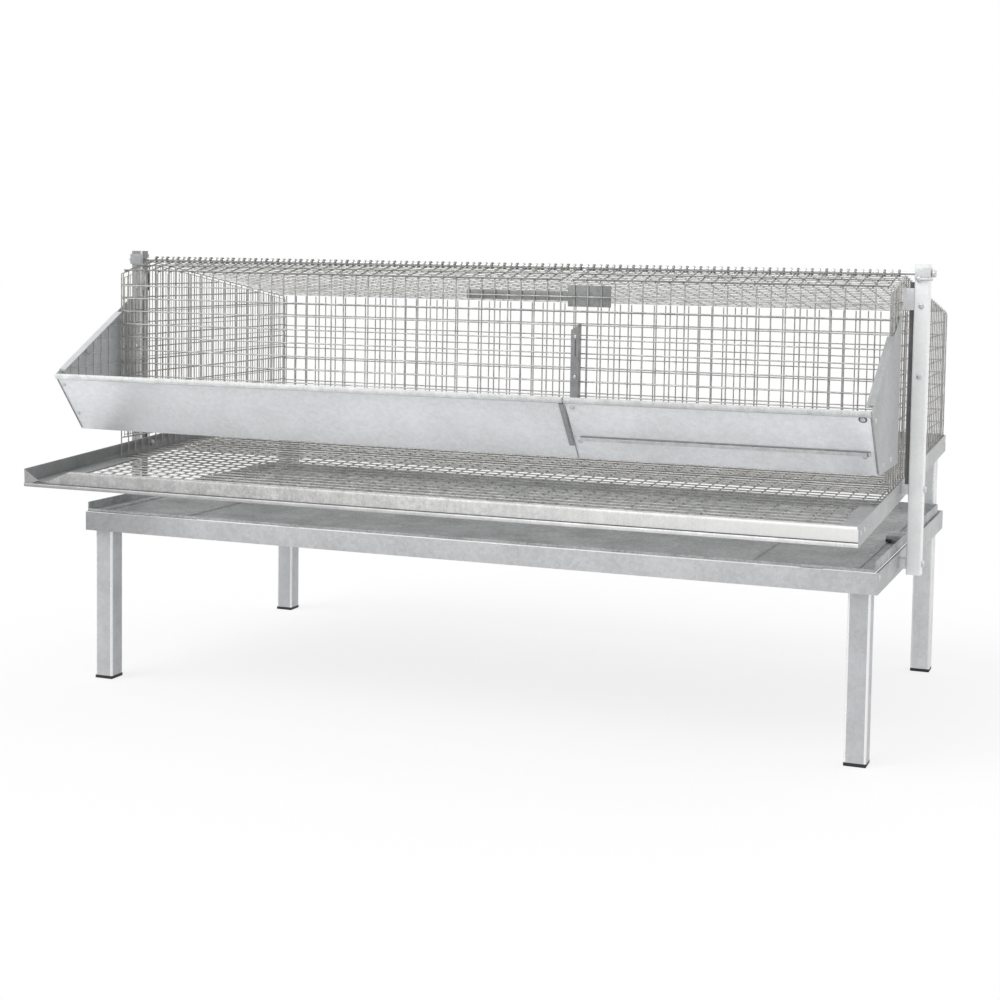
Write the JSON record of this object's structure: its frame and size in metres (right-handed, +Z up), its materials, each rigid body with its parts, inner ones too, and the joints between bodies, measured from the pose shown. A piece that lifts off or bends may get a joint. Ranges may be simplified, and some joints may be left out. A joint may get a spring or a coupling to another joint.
{
  "type": "quail cage",
  "caption": "Galvanised wire quail cage on a tube stand, with a sloping roll-out egg floor, front feed troughs, hinged lids and a slide-out litter tray.",
  "frame": {"origin": "on the floor under the middle of the cage's box", "axes": "+X to the right seen from the trough side, +Y to the back, +Z up"},
  "size_m": [1.2788, 0.7888, 0.658],
  "materials": {
    "galvanised_sheet": "galvanised, satin with spangle",
    "mesh_wire": "galvanised wire",
    "foot_plastic": "matte black"
  },
  "bodies": {
    "cage": {"leg_front_left": "galvanised_sheet", "leg_front_right": "galvanised_sheet", "leg_rear_left": "galvanised_sheet", "leg_rear_right": "galvanised_sheet", "foot_caps": "foot_plastic", "stand_front_rail": "galvanised_sheet", "stand_rear_rail": "galvanised_sheet", "stand_left_rail": "galvanised_sheet", "stand_right_rail": "galvanised_sheet", "stand_screws": "galvanised_sheet", "litter_runners": "galvanised_sheet", "floor_left_rail": "galvanised_sheet", "floor_right_rail": "galvanised_sheet", "egg_lip": "galvanised_sheet", "floor_rear_rail": "galvanised_sheet", "floor_mesh": "mesh_wire", "floor_rivets": "galvanised_sheet", "upright_left": "galvanised_sheet", "upright_right": "galvanised_sheet", "upright_bolts": "galvanised_sheet", "upright_nuts": "galvanised_sheet", "upright_spacers": "galvanised_sheet", "upright_bands": "galvanised_sheet", "mesh_brackets": "galvanised_sheet", "front_mesh": "mesh_wire", "rear_mesh": "mesh_wire", "left_end_mesh": "mesh_wire", "right_end_mesh": "mesh_wire", "roof_mesh": "mesh_wire", "front_plates": "galvanised_sheet", "hinge_rod": "galvanised_sheet", "rod_caps": "galvanised_sheet"},
    "litter_tray": {"litter_tray": "galvanised_sheet"},
    "lid_left": {"lid_left": "mesh_wire"},
    "lid_right": {"lid_right": "mesh_wire"},
    "trough_left": {"trough_left": "galvanised_sheet", "trough_end_left": "galvanised_sheet", "trough_hooks_left": "galvanised_sheet", "trough_rivets_left": "galvanised_sheet", "trough_joint_strip": "galvanised_sheet", "trough_joint_bracket": "galvanised_sheet"},
    "trough_right": {"trough_right": "galvanised_sheet", "trough_end_right": "galvanised_sheet", "trough_hooks_right": "galvanised_sheet", "trough_rivets_right": "galvanised_sheet"}
  },
  "joints": [
    {"name": "litter_tray_slide", "type": "slide", "parent": "cage", "child": "litter_tray", "axis": [0, -1, 0], "range_m": [0, 0.5]},
    {"name": "lid_left_hinge", "type": "hinge", "parent": "cage", "child": "lid_left", "pos_m": [0, -0.05765, 0.645], "axis": [-1, 0, 0], "range_deg": [0, 150]},
    {"name": "lid_right_hinge", "type": "hinge", "parent": "cage", "child": "lid_right", "pos_m": [0, -0.05765, 0.645], "axis": [-1, 0, 0], "range_deg": [0, 150]},
    {"name": "trough_left_lift", "type": "slide", "parent": "cage", "child": "trough_left", "axis": [0, 0, 1], "range_m": [0, 0.012]},
    {"name": "trough_right_lift", "type": "slide", "parent": "cage", "child": "trough_right", "axis": [0, 0, 1], "range_m": [0, 0.012]}
  ]
}
